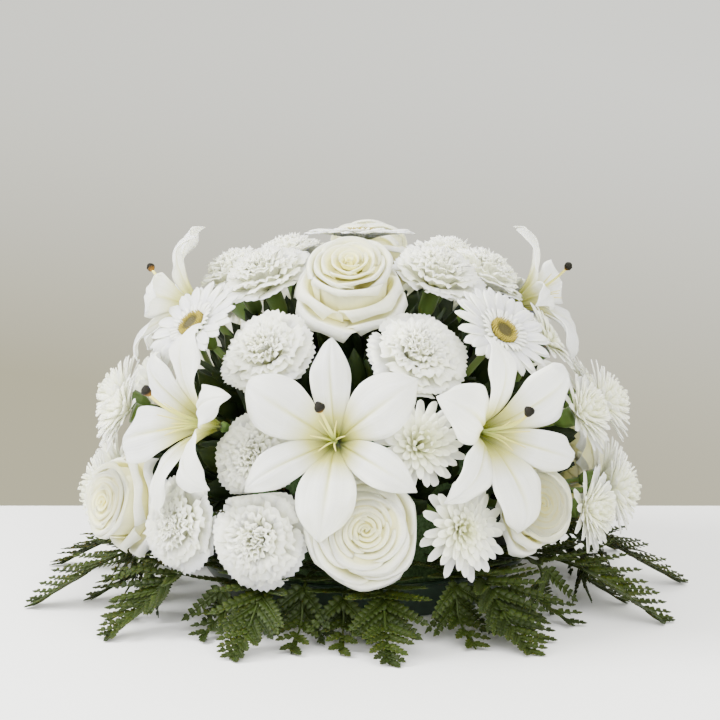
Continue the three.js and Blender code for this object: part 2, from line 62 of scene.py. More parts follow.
# Kind, azimuth and elevation on the dome in degrees, size, lift off the dome, spin, lean of
# the face to the right and upwards in degrees, and the spray that the head belongs to
HALF = [
    ("lily", -6, 19, 1.0, 26, 0, -2, -6, ""),
    ("lily", 31, 18, 1.0, 26, 8, 9, -16, ""),
    ("lily", -41, 20, 1.0, 26, -14, -16, -10, ""),
    ("lily", -84, 46, 0.86, 24, 20, -14, -22, ""),
    ("rose", -4, 60, 1.1, 12, 0, 0, -6, ""),
    ("rose", 1, 1, 1.06, 12, 40, 0, 6, ""),
    ("rose", 41, 3, 0.95, 4, 10, 4, 0, ""),
    ("rose", -64, 0, 1.04, 6, 70, 0, 0, ""),
    ("gerbera", -51, 42, 1.0, 16, 4, 0, 0, ""),
    ("gerbera", 40, 41, 1.0, 16, 10, 0, 0, ""),
    ("carnation", -41, -1, 1.02, 2, 0, 0, 0, "lower"),
    ("carnation", -21, -2, 1.04, 4, 20, 0, 0, "lower"),
    ("carnation", -24, 16, 0.92, -8, 10, 0, 0, "lower"),
    ("carnation", -26, 40, 1.0, 2, 5, 0, 0, "upper"),
    ("carnation", -52, 63, 1.02, 4, 30, 0, 0, "upper"),
    ("carnation", 16, 40, 1.04, 0, 0, 0, 0, "crown"),
    ("carnation", 42, 64, 1.02, 4, 15, 0, 0, "crown"),
    ("carnation", 88, 61, 0.98, 2, 40, 0, 0, "crown"),
    ("chrysanthemum", 21, 0, 1.04, 6, 0, 0, 0, "front"),
    ("chrysanthemum", 13, 19, 0.98, -4, 12, 0, 0, "front"),
    ("chrysanthemum", 60, -1, 0.96, 0, 8, 0, 0, "skirt"),
    ("chrysanthemum", 79, 0, 1.0, 4, 0, 0, 0, "skirt"),
    ("chrysanthemum", 98, -1, 1.0, 4, 15, 0, 0, "skirt"),
    ("chrysanthemum", 65, 21, 0.96, 0, 5, 0, 0, "side"),
    ("chrysanthemum", 84, 20, 1.0, 6, 0, 0, 0, "side"),
    ("chrysanthemum", 104, 20, 1.0, 2, 18, 0, 0, "side"),
    ("chrysanthemum", 70, 39, 1.0, 2, 10, 0, 0, "side"),
]
TOP = ("gerbera", 180, 85, 1.06, 8, 0, 0, 0, "")
# Two front lilies have a narrow petal at the top, so their petals are turned on by one place
OWN_TURN = {("lily", -6): 60, ("lily", 31): 60}
# Azimuth, reach of the tip from the middle, and height above the neighbours
FRONDS = [
    (5, 270, 0), (30, 275, 4), (62, 290, 0), (92, 292, 4), (121, 290, 0), (150, 285, 4),
    (180, 280, 0), (-151, 285, 4), (-107, 295, 0), (-75, 295, 4), (-48, 280, 0), (-22, 272, 4),
]
# Radius and height of the upper end of the stem
STEM = {
    "lily": (4, -54),
    "gerbera": (3.2, -30),
    "rose": (3.6, -42),
    "carnation": (3, -43),
    "chrysanthemum": (3, -30),
}
# Height and radius of the rings of the calyx, between the stem and the petals
CALYX = {
    "lily": [(-56, 3.8), (-52.5, 4.6), (-49, 2)],
    "rose": [(-43, 4), (-37, 8.5), (-29, 9)],
    "gerbera": [(-31, 4), (-20, 9), (-11, 11)],
    "carnation": [(-44, 4), (-38, 6.8), (-17, 7.6)],
    "chrysanthemum": [(-31, 4), (-24, 8), (-14, 9)],
}
# How far the petals reach, and which blooms lie over others: those with the higher number
REACH = {"lily": 79, "gerbera": 46, "rose": 42, "carnation": 41, "chrysanthemum": 41}
OVER = {"lily": 2, "gerbera": 1, "rose": 0, "carnation": 0, "chrysanthemum": 0}
# Radius and height of the throat, and the slope under the petals that lie over others
THROAT = {"lily": (14, -31, 0.25), "gerbera": (14, -13, 0.32)}

# The stage in metres: how far the table goes forwards, back and to each side, and how thick
# it is, then the lights as name, place, size and power in watts, and what they point at
TABLE_FRONT, TABLE_BACK, TABLE_SIDE, TABLE_THICKNESS = 1.6, 0.36, 1.5, 0.03
LIGHTS = (
    ("key", (-1.6, -0.4, 1.4), 1.1, 125),
    ("front", (0.5, -2.1, 1.5), 2.2, 155),
    ("back", (0.3, 1.3, 1.7), 1.6, 30),
)
LIGHT_TARGET = (0, 0, 0.12)
# The camera: what it looks at, how far off it is, its tilt in degrees, and its lens and sensor
CAMERA_TARGET, CAMERA_DISTANCE, CAMERA_TILT = (0, 0, 0.2), 1.9, 7.5
CAMERA_LENS, CAMERA_SENSOR = 110, 36


def in_plan(azimuth, radius, height):
    turn = math.radians(azimuth)
    return np.array([radius * math.sin(turn), -radius * math.cos(turn), height])


def unit(vector):
    return vector / np.linalg.norm(vector)


def curve_through(knots, values, t):
    """Values between knots, on a smooth curve through all of them."""
    knots = np.asarray(knots, float)
    values = np.asarray(values, float)
    slopes = np.gradient(values, knots, axis=0)
    t = np.asarray(t, float)
    i = np.clip(np.searchsorted(knots, t, side="right") - 1, 0, len(knots) - 2)
    step = knots[i + 1] - knots[i]
    s = (t - knots[i]) / step
    if values.ndim == 2:
        s, step = s[:, None], step[:, None]
    start, end = values[i], values[i + 1]
    return (
        start * (2 * s**3 - 3 * s**2 + 1)
        + slopes[i] * step * (s**3 - 2 * s**2 + s)
        + end * (3 * s**2 - 2 * s**3)
        + slopes[i + 1] * step * (s**3 - s**2)
    )


# Modelling


def start_piece():
    if bpy.context.object and bpy.context.object.mode != "OBJECT":
        bpy.ops.object.mode_set(mode="OBJECT")
    bpy.ops.object.select_all(action="DESELECT")


def lifted(piece):
    """The points and faces of a modelled start, which is then cleared away."""
    mesh = piece.data
    points = np.zeros(len(mesh.vertices) * 3)
    mesh.vertices.foreach_get("co", points)
    faces = [tuple(face.vertices) for face in mesh.polygons]
    bpy.data.objects.remove(piece)
    return points.reshape(-1, 3), faces


def sheet_start(across, along):
    """A flat sheet, across from -1 to 1 and along from 0 to 1, to be bent into petals."""
    start_piece()
    bpy.ops.mesh.primitive_grid_add(x_subdivisions=across, y_subdivisions=along, size=2)
    points, faces = lifted(bpy.context.object)
    return points[:, 0], (points[:, 1] + 1) / 2, faces


def tube_start(sides, lengths):
    """A closed tube of radius 1 along Z from 0 to 1, extruded ring by ring."""
    start_piece()
    bpy.ops.mesh.primitive_circle_add(vertices=sides, radius=1, fill_type="NGON")
    bpy.ops.object.mode_set(mode="EDIT")
    bpy.ops.mesh.select_all(action="SELECT")
    for _ in range(lengths):
        bpy.ops.mesh.extrude_region_move(TRANSFORM_OT_translate={"value": (0, 0, 1 / lengths)})
    bpy.ops.mesh.select_all(action="SELECT")
    bpy.ops.mesh.normals_make_consistent(inside=False)
    bpy.ops.object.mode_set(mode="OBJECT")
    return lifted(bpy.context.object)


# Faces across and along of the flat sheets
LILY_SHEET, ROSE_SHEET = (12, 22), (12, 10)
BROAD_CARNATION, NARROW_CARNATION = (14, 4), (10, 3)
RAY_SHEET, FLORET_SHEET = (4, 8), (2, 7)
NARROW_SHEET, LEAFLET_SHEET = (2, 5), (2, 2)
SHEETS = {
    size: sheet_start(*size)
    for size in (
        LILY_SHEET, ROSE_SHEET, BROAD_CARNATION, NARROW_CARNATION,
        RAY_SHEET, FLORET_SHEET, NARROW_SHEET, LEAFLET_SHEET,
    )
}
# Sides and lengths of the tubes
FINE_TUBE, THIN_TUBE, LONG_TUBE, STEM_TUBE, ROUND_TUBE = (5, 3), (6, 8), (8, 10), (10, 3), (12, 12)
TUBES = {size: tube_start(*size) for size in (FINE_TUBE, THIN_TUBE, LONG_TUBE, STEM_TUBE, ROUND_TUBE)}


class Gathered:
    """Bent sheets and tubes gathered for one piece."""

    def __init__(self):
        self.points, self.faces, self.uvs, self.tones = [], [], [], []
        self.count = 0

    def add(self, points, faces, across, along, tone):
        self.points.append(points)
        self.faces += [tuple(i + self.count for i in face) for face in faces]
        self.uvs.append(np.stack([across, along], 1))
        self.tones.append(np.full(len(points), tone))
        self.count += len(points)

    def sheet(self, size, shape, tone, turn):
        """shape gives outwards, sideways and up for the sheet's across and along, and the
        sheet is then turned about Z."""
        u, v, faces = SHEETS[size]
        outwards, sideways, up = shape(u, v)
        cos, sin = math.cos(math.radians(turn)), math.sin(math.radians(turn))
        points = np.stack([outwards * cos - sideways * sin, outwards * sin + sideways * cos, up], 1)
        self.add(points, faces, (u + 1) / 2, v, tone)

    def leaf(self, size, root, axes, lengths, outline, bend, tone):
        """A leaf on axes along, across and up. lengths are its length and half its width,
        outline narrows it by v, and bend gives its fold along the middle and its curl."""
        u, v, faces = SHEETS[size]
        along, side, up = axes
        length, half = lengths
        rise = bend[0] * half * np.abs(u) + bend[1] * length * v**2
        points = root + np.outer(v * length, along) + np.outer(u * half * outline(v), side)
        self.add(points + np.outer(rise, up), faces, (u + 1) / 2, v, tone)

    def tube(self, size, path, radii, tone):
        """A tube along a smooth path of points, with a radius for each."""
        start, faces = TUBES[size]
        knots = np.linspace(0, 1, len(path))
        path = np.asarray(path, float)
        t = start[:, 2]
        centre = curve_through(knots, path, t)
        before, after = np.maximum(t - 0.01, 0), np.minimum(t + 0.01, 1)
        along = curve_through(knots, path, after) - curve_through(knots, path, before)
        along /= np.linalg.norm(along, axis=1)[:, None]
        overall = unit(path[-1] - path[0])
        reference = np.array([1.0, 0, 0]) if abs(overall[2]) > 0.8 else np.array([0, 0, 1.0])
        first = np.cross(along, reference)
        first /= np.linalg.norm(first, axis=1)[:, None]
        second = np.cross(along, first)
        radius = np.interp(t, knots, radii)[:, None]
        points = centre + radius * (start[:, :1] * first + start[:, 1:2] * second)
        angle = np.arctan2(start[:, 1], start[:, 0]) / (2 * math.pi) + 0.5
        self.add(points, faces, angle, t, tone)

    def mesh(self, name):
        mesh = bpy.data.meshes.new(name)
        mesh.from_pydata(np.concatenate(self.points).tolist(), [], self.faces)
        uvs = np.concatenate(self.uvs)
        loops = np.zeros(len(mesh.loops), np.int32)
        mesh.loops.foreach_get("vertex_index", loops)
        layer = mesh.uv_layers.new(name="UVMap")
        layer.data.foreach_set("uv", uvs[loops].ravel())
        tone = mesh.attributes.new("tone", "FLOAT", "POINT")
        tone.data.foreach_set("value", np.concatenate(self.tones))
        return mesh


def thickened(mesh, thickness):
    """The mesh with its sheets made solid, and smooth."""
    start_piece()
    piece = bpy.data.objects.new(mesh.name, mesh)
    bpy.context.scene.collection.objects.link(piece)
    bpy.context.view_layer.objects.active = piece
    piece.select_set(True)
    solid = piece.modifiers.new("thickness", "SOLIDIFY")
    solid.thickness = thickness
    solid.offset = 0
    bpy.ops.object.modifier_apply(modifier=solid.name)
    bpy.ops.object.shade_smooth()
    bpy.data.objects.remove(piece)
    return mesh


# The blooms, each in its own frame with its face at height 0, looking along +Z


def lily_petals(rng):
    """Three wide and three narrow tepals, grooved along the middle and ruffled at the edges."""
    petals = Gathered()
    knots = [0, 0.14, 0.3, 0.48, 0.64, 0.8, 0.92, 1.0]
    wide = dict(
        r=[1.5, 12.5, 26, 42, 56, 69, 76, 80.5], z=[-50, -28, -14, -3, 2, 0, -5, -12],
        half=[1.5, 7.4, 17, 23, 21.5, 13.5, 6, 0.3], hang=[0, 0, -1, 2, 5, 5, 2, 0],
    )
    narrow = dict(
        r=[1.5, 12.5, 25, 41, 54, 67, 74, 78.5], z=[-51, -29, -17, -6, -2, -4, -9, -16],
        half=[1.5, 7.4, 12.5, 15.5, 14.5, 9, 4, 0.3], hang=[0, 0, -1, 1.5, 3.5, 3.5, 1, 0],
    )
    for k in range(6):
        form = narrow if k % 2 else wide
        phase, wave = rng.random(), rng.uniform(2, 4.2)
        twist, bend = rng.uniform(-0.17, 0.17), rng.uniform(-4, 2)

        def tepal(u, v):
            r, z, half, hang = (curve_through(knots, form[key], v) for key in ("r", "z", "half", "hang"))
            half = np.maximum(half, 0.3)
            u = np.sign(u) * np.abs(u) ** 1.35
            edge = np.abs(u)
            swing = np.sin(2 * math.pi * (2.2 * v + phase) + 1.8 * u)
            ruffle = wave * edge**2.5 * swing * np.clip(v * 3 - 0.8, 0, 1) * np.clip((1 - v) * 5, 0, 1)
            groove = -1.8 * np.exp(-((u / 0.09) ** 2)) * np.clip(1.7 - 1.6 * v, 0, 1)
            swell = 2.3 * np.exp(-(((edge - 0.24) / 0.16) ** 2)) * np.clip(1.6 - 1.5 * v, 0, 1)
            up = z - hang * edge**1.6 + ruffle + groove + swell + twist * half * u + bend * v**3
            return r, half * u + twist * 40 * v**3, up

        petals.sheet(LILY_SHEET, tepal, rng.random(), 60 * k - 30)
    return thickened(petals.mesh("lily"), PETAL_THICKNESS)


# Whorls of a rose from the outside in: petals, radius of the rim, radius of the foot, height
# of the rim, half of the angle that a petal spans, roll of its edge, and its turn
OPEN_ROSE = (
    (4, 41, 15, -8, 60, 1.2, 46), (4, 38.5, 15, -2, 56, 1.0, 92), (3, 31.5, 17, 5, 74, 1.5, 20),
    (3, 28, 13, 8, 72, 0.9, 75), (3, 21.5, 7, 5.5, 72, 0.45, 150), (3, 16.5, 4, 5.0, 74, 0.35, 40),
    (3, 12.2, 2.5, 5.4, 76, 0.3, 115), (3, 8.4, 1.5, 5.8, 80, 0.2, 10), (2, 5, 1, 6.2, 112, 0.0, 60),
    (1, 2.4, 0.6, 6.4, 170, 0.0, 0),
)
BUD_ROSE = (
    (4, 41.5, 14, -16, 54, 1.7, 46), (3, 36, 20, -4, 66, 1.7, 82), (3, 30, 21, 10, 80, 0.9, 20),
    (3, 25.5, 12, 13, 78, 0.5, 80), (3, 19.5, 7, 14, 78, 0.3, 40), (3, 13.5, 4, 14.5, 82, 0.2, 100),
    (2, 8.2, 2, 15, 112, 0.0, 60), (1, 3.6, 0.8, 14.5, 170, 0.0, 0),
)


def rose_petals(rng, whorls=OPEN_ROSE):
    """Whorls of cupped petals. The edges of the outer ones are rolled outwards."""
    petals = Gathered()
    knots = [0, 0.25, 0.55, 0.8, 0.93, 1]
    for layer, (count, top, foot, rim, spread, roll, turn) in enumerate(whorls):
        outer = 1 - layer / (len(whorls) - 1)
        swell = [foot + share * (top - foot) for share in (0.3, 0.72)]
        radii = [foot * 0.6, *swell, top - 1.6 - 1.2 * roll, top, top + 1.6 * roll - 0.4]
        for k in range(count):
            phase, wave, lift = rng.random(), rng.uniform(0.5, 1.6), rng.uniform(-1, 1)
            high = rim + lift * outer
            base = high - 14 if top < 29 else -30.0
            heights = [base, base + 7, base + 0.62 * (high - base), high - 1.6, high + 0.6, high - 2.6 * roll]

            def petal(u, v):
                edge = np.abs(u)
                width = np.clip(0.5 + 1.4 * v, 0, 1) * (1 - 0.34 * np.clip((v - 0.62) / 0.38, 0, 1) ** 2)
                angle = math.radians(spread) * u * width
                point = 1.8 * roll * np.exp(-((u / 0.3) ** 2)) * v**6
                cup = 0.05 * top * (u**2 - 0.33) * (1 - outer) - 0.88 * roll * edge**3 * v**4
                waves = wave * outer * edge**2 * np.sin(2 * math.pi * (v + phase)) * v
                r = curve_through(knots, radii, v) + 1.1 * u + cup + point + waves
                droop = (2 + 6 * outer) * edge**2.6 * v**2 + 1.2 * point
                z = curve_through(knots, heights, v) - droop + 0.9 * roll * np.sin(4 * u + 6 * phase) * v**3
                return r * np.cos(angle), r * np.sin(angle), z

            tone = max(0.0, 1 - 1.35 * outer)
            petals.sheet(ROSE_SHEET, petal, tone, turn + 360 / count * k + rng.uniform(-5, 5))
    return thickened(petals.mesh("rose"), ROSE_THICKNESS)


def bud_rose_petals(rng):
    return rose_petals(rng, BUD_ROSE)


def gerbera_petals(rng):
    """Two rings of blunt rays, and a ring of short narrow ones round the disc."""
    petals = Gathered()
    rings = (
        (19, 45, 0.5, 5.2, RAY_SHEET),
        (17, 42, 2.5, 4.8, RAY_SHEET),
        (26, 22, 3.5, 1.6, NARROW_SHEET),
    )
    for count, tip, height, half, size in rings:
        for k in range(count):
            reach, lift, swing = tip + rng.uniform(-1.5, 0.8), rng.uniform(-0.8, 0.8), rng.uniform(-2, 2)

            def ray(u, v):
                r = 9 + (reach - 9) * v
                z = -6 + (height + 6) * v**0.6 + lift * v - 2.2 * v**5
                width = half * np.clip(0.42 + 1.5 * v, 0, 1) * np.sqrt(np.clip(1.02 - v**5, 0.0, 1))
                notch = -1.1 * (v > 0.95) * (np.abs(u) < 0.3)
                fold = 0.7 * np.cos(2 * math.pi * u) * np.clip(1.2 - v, 0, 1) - 0.9 * u**2
                return r + notch, width * u, z + fold

            petals.sheet(size, ray, rng.random(), 360 / count * k + swing + 7 * (count % 3))
    return thickened(petals.mesh("gerbera"), PETAL_THICKNESS)


def carnation_petals(rng):
    """Layers of fan-shaped petals, whose pleats deepen towards their toothed edges."""
    petals = Gathered()
    broad, narrow = BROAD_CARNATION, NARROW_CARNATION
    layers = (
        (7, 41, -6.5, 16, 0.9, broad), (8, 38, -3, 14.5, 1.3, broad), (8, 32.5, 2.5, 12.5, 2.0, narrow),
        (8, 27.5, 6.5, 11, 2.5, narrow), (8, 22.5, 9.5, 10, 2.8, narrow), (8, 17.5, 12, 9, 3.0, narrow),
        (7, 12.5, 13.5, 8, 3.0, narrow), (5, 7.5, 14.5, 7, 2.6, narrow), (3, 3.5, 14.5, 5, 1.8, narrow),
    )
    for layer, (count, tip, height, half, ruffle, size) in enumerate(layers):
        for k in range(count):
            phase, fold = rng.random(), rng.random()
            reach, lift = tip + rng.uniform(-3.5, 1), height + rng.uniform(-2.8, 2)
            breadth = half * rng.uniform(0.85, 1.2)
            folds, flat = (0.8, 1.0) if reach > 34 else (1.5, reach / 40)

            def petal(u, v):
                coarse = 2 * math.pi * (folds * u + phase)
                fine = 2 * math.pi * (2.1 * folds * u + fold)
                pleat = np.sin(coarse) + 0.6 * np.sin(fine)
                sweep = np.cos(coarse) + 0.5 * np.cos(fine)
                tooth = np.where(np.round((u + 1) * size[0] / 2) % 2 > 0, 0.95, -0.95) * (v > 0.99)
                arch = (5.2 if reach > 36 else 2.6) * u**2 * v
                r = 3 + (reach - 3) * (1 - (1 - v) ** 1.2) + tooth * flat - arch
                rise = curve_through([0, 0.35, 0.75, 1], [-15, -15 + 0.45 * (lift + 15), lift + 0.5, lift], v)
                z = rise + 0.65 * ruffle * v**2 * pleat - 1.6 * u**2 + tooth * (1 - flat)
                sway = (0.75 - 0.35 * flat) * ruffle * v**2 * sweep
                return r + sway, breadth * u * v**0.7, z

            tone = 0.15 + 0.85 * layer / (len(layers) - 1) * rng.uniform(0.7, 1)
            turn = 360 / count * (k + rng.uniform(-0.28, 0.28)) + 17 * layer
            petals.sheet(size, petal, tone, turn)
    return thickened(petals.mesh("carnation"), THIN_PETAL)


def chrysanthemum_petals(rng):
    """A spiral of narrow petals, flat at the outside and rising to the middle."""
    petals = Gathered()
    for i in range(MUM_PETALS):
        s = i / (MUM_PETALS - 1)
        tip = 40.5 * (1 - s) ** 0.72 + 1.5
        height = -6 + 21.5 * s**0.62
        half = 4.4 - 1.9 * s
        reach, lift = tip + rng.uniform(-1.8, 0.5) * (1 - s), height + rng.uniform(-1.2, 1.2)

        def floret(u, v):
            r = curve_through([0, 0.4, 0.8, 1], [2, 0.46 * reach + 4 * s, 0.9 * reach + 2.5 * s, reach], v)
            z = curve_through([0, 0.4, 0.8, 1], [-11, -11 + 0.6 * (lift + 11), lift - 0.4, lift], v)
            width = half * np.clip(0.35 + 1.4 * v, 0, 1) * np.clip(1.02 - v**3.2, 0.02, 1) ** 0.62
            return r - 1.2 * s * u**2, width * u, z + 1.5 * u**2 * np.clip(v * 2, 0, 1) * (1 - 0.5 * v)

        petals.sheet(FLORET_SHEET, floret, 0.1 + 0.9 * s**2.2, i * SPIRAL_TURN + rng.uniform(-4, 4))
    return thickened(petals.mesh("chrysanthemum"), THIN_PETAL)


# The forms that the heads of a kind take in turn
PETALS = {
    "lily": (lily_petals, lily_petals, lily_petals),
    "rose": (bud_rose_petals, rose_petals, bud_rose_petals, bud_rose_petals),
    "gerbera": (gerbera_petals, gerbera_petals),
    "carnation": (carnation_petals, carnation_petals, carnation_petals),
    "chrysanthemum": (chrysanthemum_petals, chrysanthemum_petals, chrysanthemum_petals),
}
FORMS = {
    kind: [make(random.Random(f"{kind} {n}")) for n, make in enumerate(makers)]
    for kind, makers in PETALS.items()
}


# Where the heads sit


def placement(row):
    """The head's frame on the dome as a 4 by 4 matrix, in millimetres."""
    _, azimuth, elevation, size, lift, spin, lean_right, lean_up, _ = row
    rise = math.radians(elevation)
    face = in_plan(azimuth, DOME_RADIUS * math.cos(rise), DOME_MIDDLE + DOME_RISE * math.sin(rise))
    out = unit(face - FOCUS)
    up = np.array([0, 1.0, 0]) if out[2] > 0.97 else np.array([0, 0, 1.0])
    right = unit(np.cross(up, out))
    top = np.cross(out, right)
    basis = Matrix(np.stack([right, top, out], 1).tolist()).to_4x4()
    turn = (
        Matrix.Rotation(math.radians(lean_right), 4, "Y")
        @ Matrix.Rotation(math.radians(-lean_up), 4, "X")
        @ Matrix.Rotation(math.radians(spin), 4, "Z")
        @ Matrix.Scale(size, 4)
    )
    return np.array(Matrix.Translation(Vector(face + out * lift)) @ basis @ turn)


def through(matrix, points):
    return points @ matrix[:3, :3].T + matrix[:3, 3]


def towards(point):
    return unit(point - FOCUS)


def foam_reach(direction):
    flat = math.hypot(direction[0], direction[1])
    if direction[2] < 0:
        return FOAM_RADIUS / flat
    return 1 / math.hypot(flat / FOAM_RADIUS, direction[2] / FOAM_RISE)


def along_ray(direction, distance):
    return FOCUS + direction * distance


def coordinates(mesh):
    points = np.zeros(len(mesh.vertices) * 3)
    mesh.vertices.foreach_get("co", points)
    return points.reshape(-1, 3)


used = {}


class Head:
    def __init__(self, row):
        self.kind, self.size = row[0], row[3]
        self.place = placement(row)
        self.home = np.linalg.inv(self.place)
        self.centre = self.place[:3, 3]
        forms = FORMS[self.kind]
        used[self.kind] = used.get(self.kind, -1) + 1
        self.form = forms[used[self.kind] % len(forms)]
        turn = OWN_TURN.get(row[:2], 0)
        turned = np.array(Matrix.Rotation(math.radians(turn), 4, "Z"))
        self.points = through(self.place @ turned, coordinates(self.form))
        self.base = through(self.place, np.array([0, 0, STEM[self.kind][1]]))
        self.end = along_ray(towards(self.base), foam_reach(towards(self.base)) - STEM_DEPTH)

    def reach(self):
        return REACH[self.kind] * self.size


def softened(values, limit):
    """The values, slowed as they near a limit that they never reach."""
    start = limit - PRESS_GAP - PRESS_SOFTNESS
    slow = start + PRESS_SOFTNESS * (1 - np.exp(np.minimum((start - values) / PRESS_SOFTNESS, 0)))
    return np.where(values <= start, values, slow)


def press_apart(a, b):
    """Two heads press on a plane between them that passes through the focus."""
    to_a, to_b = towards(a.centre), towards(b.centre)
    share = a.reach() / (a.reach() + b.reach())
    middle = unit(to_a + (to_b - to_a) * share)
    across = to_b - to_a
    across = unit(across - middle * across.dot(middle))
    for head, side in ((a, 1), (b, -1)):
        reached = side * (head.points - FOCUS) @ across
        head.points += np.outer(side * (softened(reached, 0) - reached), across)


def press_under(upper, lower):
    """A head under the petals of another stays off its throat and below its petals."""
    radius, height, slope = THROAT[upper.kind]
    points = through(upper.home, lower.points)
    middle = through(upper.home, lower.centre)
    middle[2] = 0
    middle = unit(middle)
    away = points @ middle
    points += np.outer(-softened(-away, -radius) - away, middle)
    ceiling = height + slope * (np.maximum(away, radius) - radius)
    points[:, 2] = softened(points[:, 2], ceiling)
    lower.points = through(upper.place, points)


def settle(heads):
    for i, a in enumerate(heads):
        for b in heads[i + 1 :]:
            if np.linalg.norm(a.centre - b.centre) > a.reach() + b.reach():
                continue
            if OVER[a.kind] > OVER[b.kind]:
                press_under(a, b)
            elif OVER[a.kind] < OVER[b.kind]:
                press_under(b, a)
            else:
                press_apart(a, b)


# Finishes


def fill_in(tree, node, inputs):
    """Give inputs of a node their values, or the outputs of other nodes that feed them."""
    for key, value in inputs.items():
        if isinstance(value, bpy.types.NodeSocket):
            tree.links.new(value, node.inputs[key])
        else:
            node.inputs[key].default_value = value


def node_adder(tree):
    """A function that adds a node to the tree, with its inputs and its settings."""

    def add(kind, inputs=None, **settings):
        node = tree.nodes.new(kind)
        for key, value in settings.items():
            setattr(node, key, value)
        fill_in(tree, node, inputs or {})
        return node

    return add


def blended(add, share, first, second, start=0.0, end=1.0):
    """A ramp from one colour at the start to another at the end of the share."""
    ramp = add("ShaderNodeValToRGB", {"Fac": share})
    elements = ramp.color_ramp.elements
    elements[0].color, elements[0].position = (*first, 1), start
    elements[1].color, elements[1].position = (*second, 1), end
    return ramp


def tone_of(add):
    return add("ShaderNodeAttribute", attribute_name="tone").outputs["Fac"]


def grain(add, scale, detail):
    """Noise over the piece."""
    place = add("ShaderNodeTexCoord").outputs["Object"]
    return add("ShaderNodeTexNoise", {"Vector": place, "Scale": scale, "Detail": detail}).outputs["Fac"]


def bumps(add, height, depth, distance):
    inputs = {"Height": height, "Strength": depth, "Distance": distance}
    return add("ShaderNodeBump", inputs).outputs["Normal"]


def finish_nodes(name):
    """A new material with its nodes, shader and an adder of further nodes."""
    material = bpy.data.materials.new(name)
    material.use_nodes = True
    tree = material.node_tree
    return material, tree, tree.nodes["Principled BSDF"], node_adder(tree)


def lengthwise_veins():
    """A group that draws fine lines along a petal or leaf from its UV map, and a streak that
    is 1 along the lower middle of the petal and fades towards its edges and tip."""
    group = bpy.data.node_groups.new("lengthwise_veins", "ShaderNodeTree")
    group.interface.new_socket("Lines", in_out="INPUT", socket_type="NodeSocketFloat").default_value = 20
    for name in ("Height", "Along", "Streak"):
        group.interface.new_socket(name, in_out="OUTPUT", socket_type="NodeSocketFloat")
    add = node_adder(group)

    def maths(operation, first, second=0):
        return add("ShaderNodeMath", {0: first, 1: second}, operation=operation).outputs[0]

    def faded(value, start, end):
        inputs = {"Value": value, "From Min": start, "From Max": end, "To Min": 1, "To Max": 0}
        return add("ShaderNodeMapRange", inputs, interpolation_type="SMOOTHSTEP").outputs["Result"]

    lines = add("NodeGroupInput").outputs["Lines"]
    place = add("ShaderNodeUVMap", uv_map="UVMap").outputs["UV"]
    split = add("ShaderNodeSeparateXYZ", {0: place})
    across, along = split.outputs["X"], split.outputs["Y"]
    place = {"X": maths("MULTIPLY", across, lines), "Y": along, "Z": maths("MULTIPLY", tone_of(add), 37)}
    joined = add("ShaderNodeCombineXYZ", place).outputs[0]
    noise = add("ShaderNodeTexNoise", {"Vector": joined, "Scale": 1.6, "Detail": 3})
    off_middle = maths("ABSOLUTE", maths("SUBTRACT", across, 0.5))
    streak = maths("MULTIPLY", faded(off_middle, 0.0, 0.14), faded(along, 0.3, 0.85))
    add("NodeGroupOutput", {"Height": noise.outputs["Fac"], "Along": along, "Streak": streak})
    return group


VEINS = lengthwise_veins()


def petal_finish(name, root, mid, body, heart, lines, depth, root_end, streak=None):
    """A soft petal, coloured at its root, with fine lines along it and a faint streak. heart
    is the colour of the petals in the middle of the head, whose tone is near 1."""
    material, tree, shader, add = finish_nodes(name)
    veins = add("ShaderNodeGroup", {"Lines": lines}, node_tree=VEINS).outputs
    ramp = blended(add, veins["Along"], root, body, 0.06, root_end)
    ramp.color_ramp.elements.new(root_end * 0.5).color = (*mid, 1)

    def multiplied(colour, factor, other):
        inputs = {"Factor": factor, "A": colour, "B": (*other, 1)}
        return add("ShaderNodeMix", inputs, data_type="RGBA", blend_type="MULTIPLY").outputs["Result"]

    colour = ramp.outputs["Color"]
    if heart:
        colour = multiplied(colour, tone_of(add), heart)
    if streak:
        colour = multiplied(colour, veins["Streak"], streak)
    fine = add("ShaderNodeMapRange", {"Value": veins["Height"], "From Min": 0.35, "From Max": 0.7})
    fill_in(tree, shader, {
        "Base Color": multiplied(colour, fine.outputs["Result"], (0.94, 0.95, 0.91)),
        "Normal": bumps(add, veins["Height"], depth, 0.0006),
        "Roughness": 0.55,
        "Specular IOR Level": 0.3,
        "Subsurface Weight": 0.75,
        "Subsurface Radius": (1.0, 1.0, 0.7),
        "Subsurface Scale": 0.006,
        "Sheen Weight": 0.1,
    })
    return material


def leaf_finish(name, dark, light, lines, roughness):
    """A leaf or stem, lighter by its tone and in soft patches, with fine lines along it."""
    material, tree, shader, add = finish_nodes(name)
    veins = add("ShaderNodeGroup", {"Lines": lines}, node_tree=VEINS).outputs
    patches = add("ShaderNodeMath", {0: grain(add, 22, 4), 1: 0.45}, operation="MULTIPLY").outputs[0]
    share = add("ShaderNodeMath", {0: tone_of(add), 1: 0.6, 2: patches}, operation="MULTIPLY_ADD").outputs[0]
    inputs = {"Factor": share, "A": (*dark, 1), "B": (*light, 1)}
    fill_in(tree, shader, {
        "Base Color": add("ShaderNodeMix", inputs, data_type="RGBA").outputs["Result"],
        "Normal": bumps(add, veins["Height"], 0.35, 0.0005),
        "Roughness": roughness,
        "Specular IOR Level": 0.16,
        "Subsurface Weight": 0.05,
    })
    return material


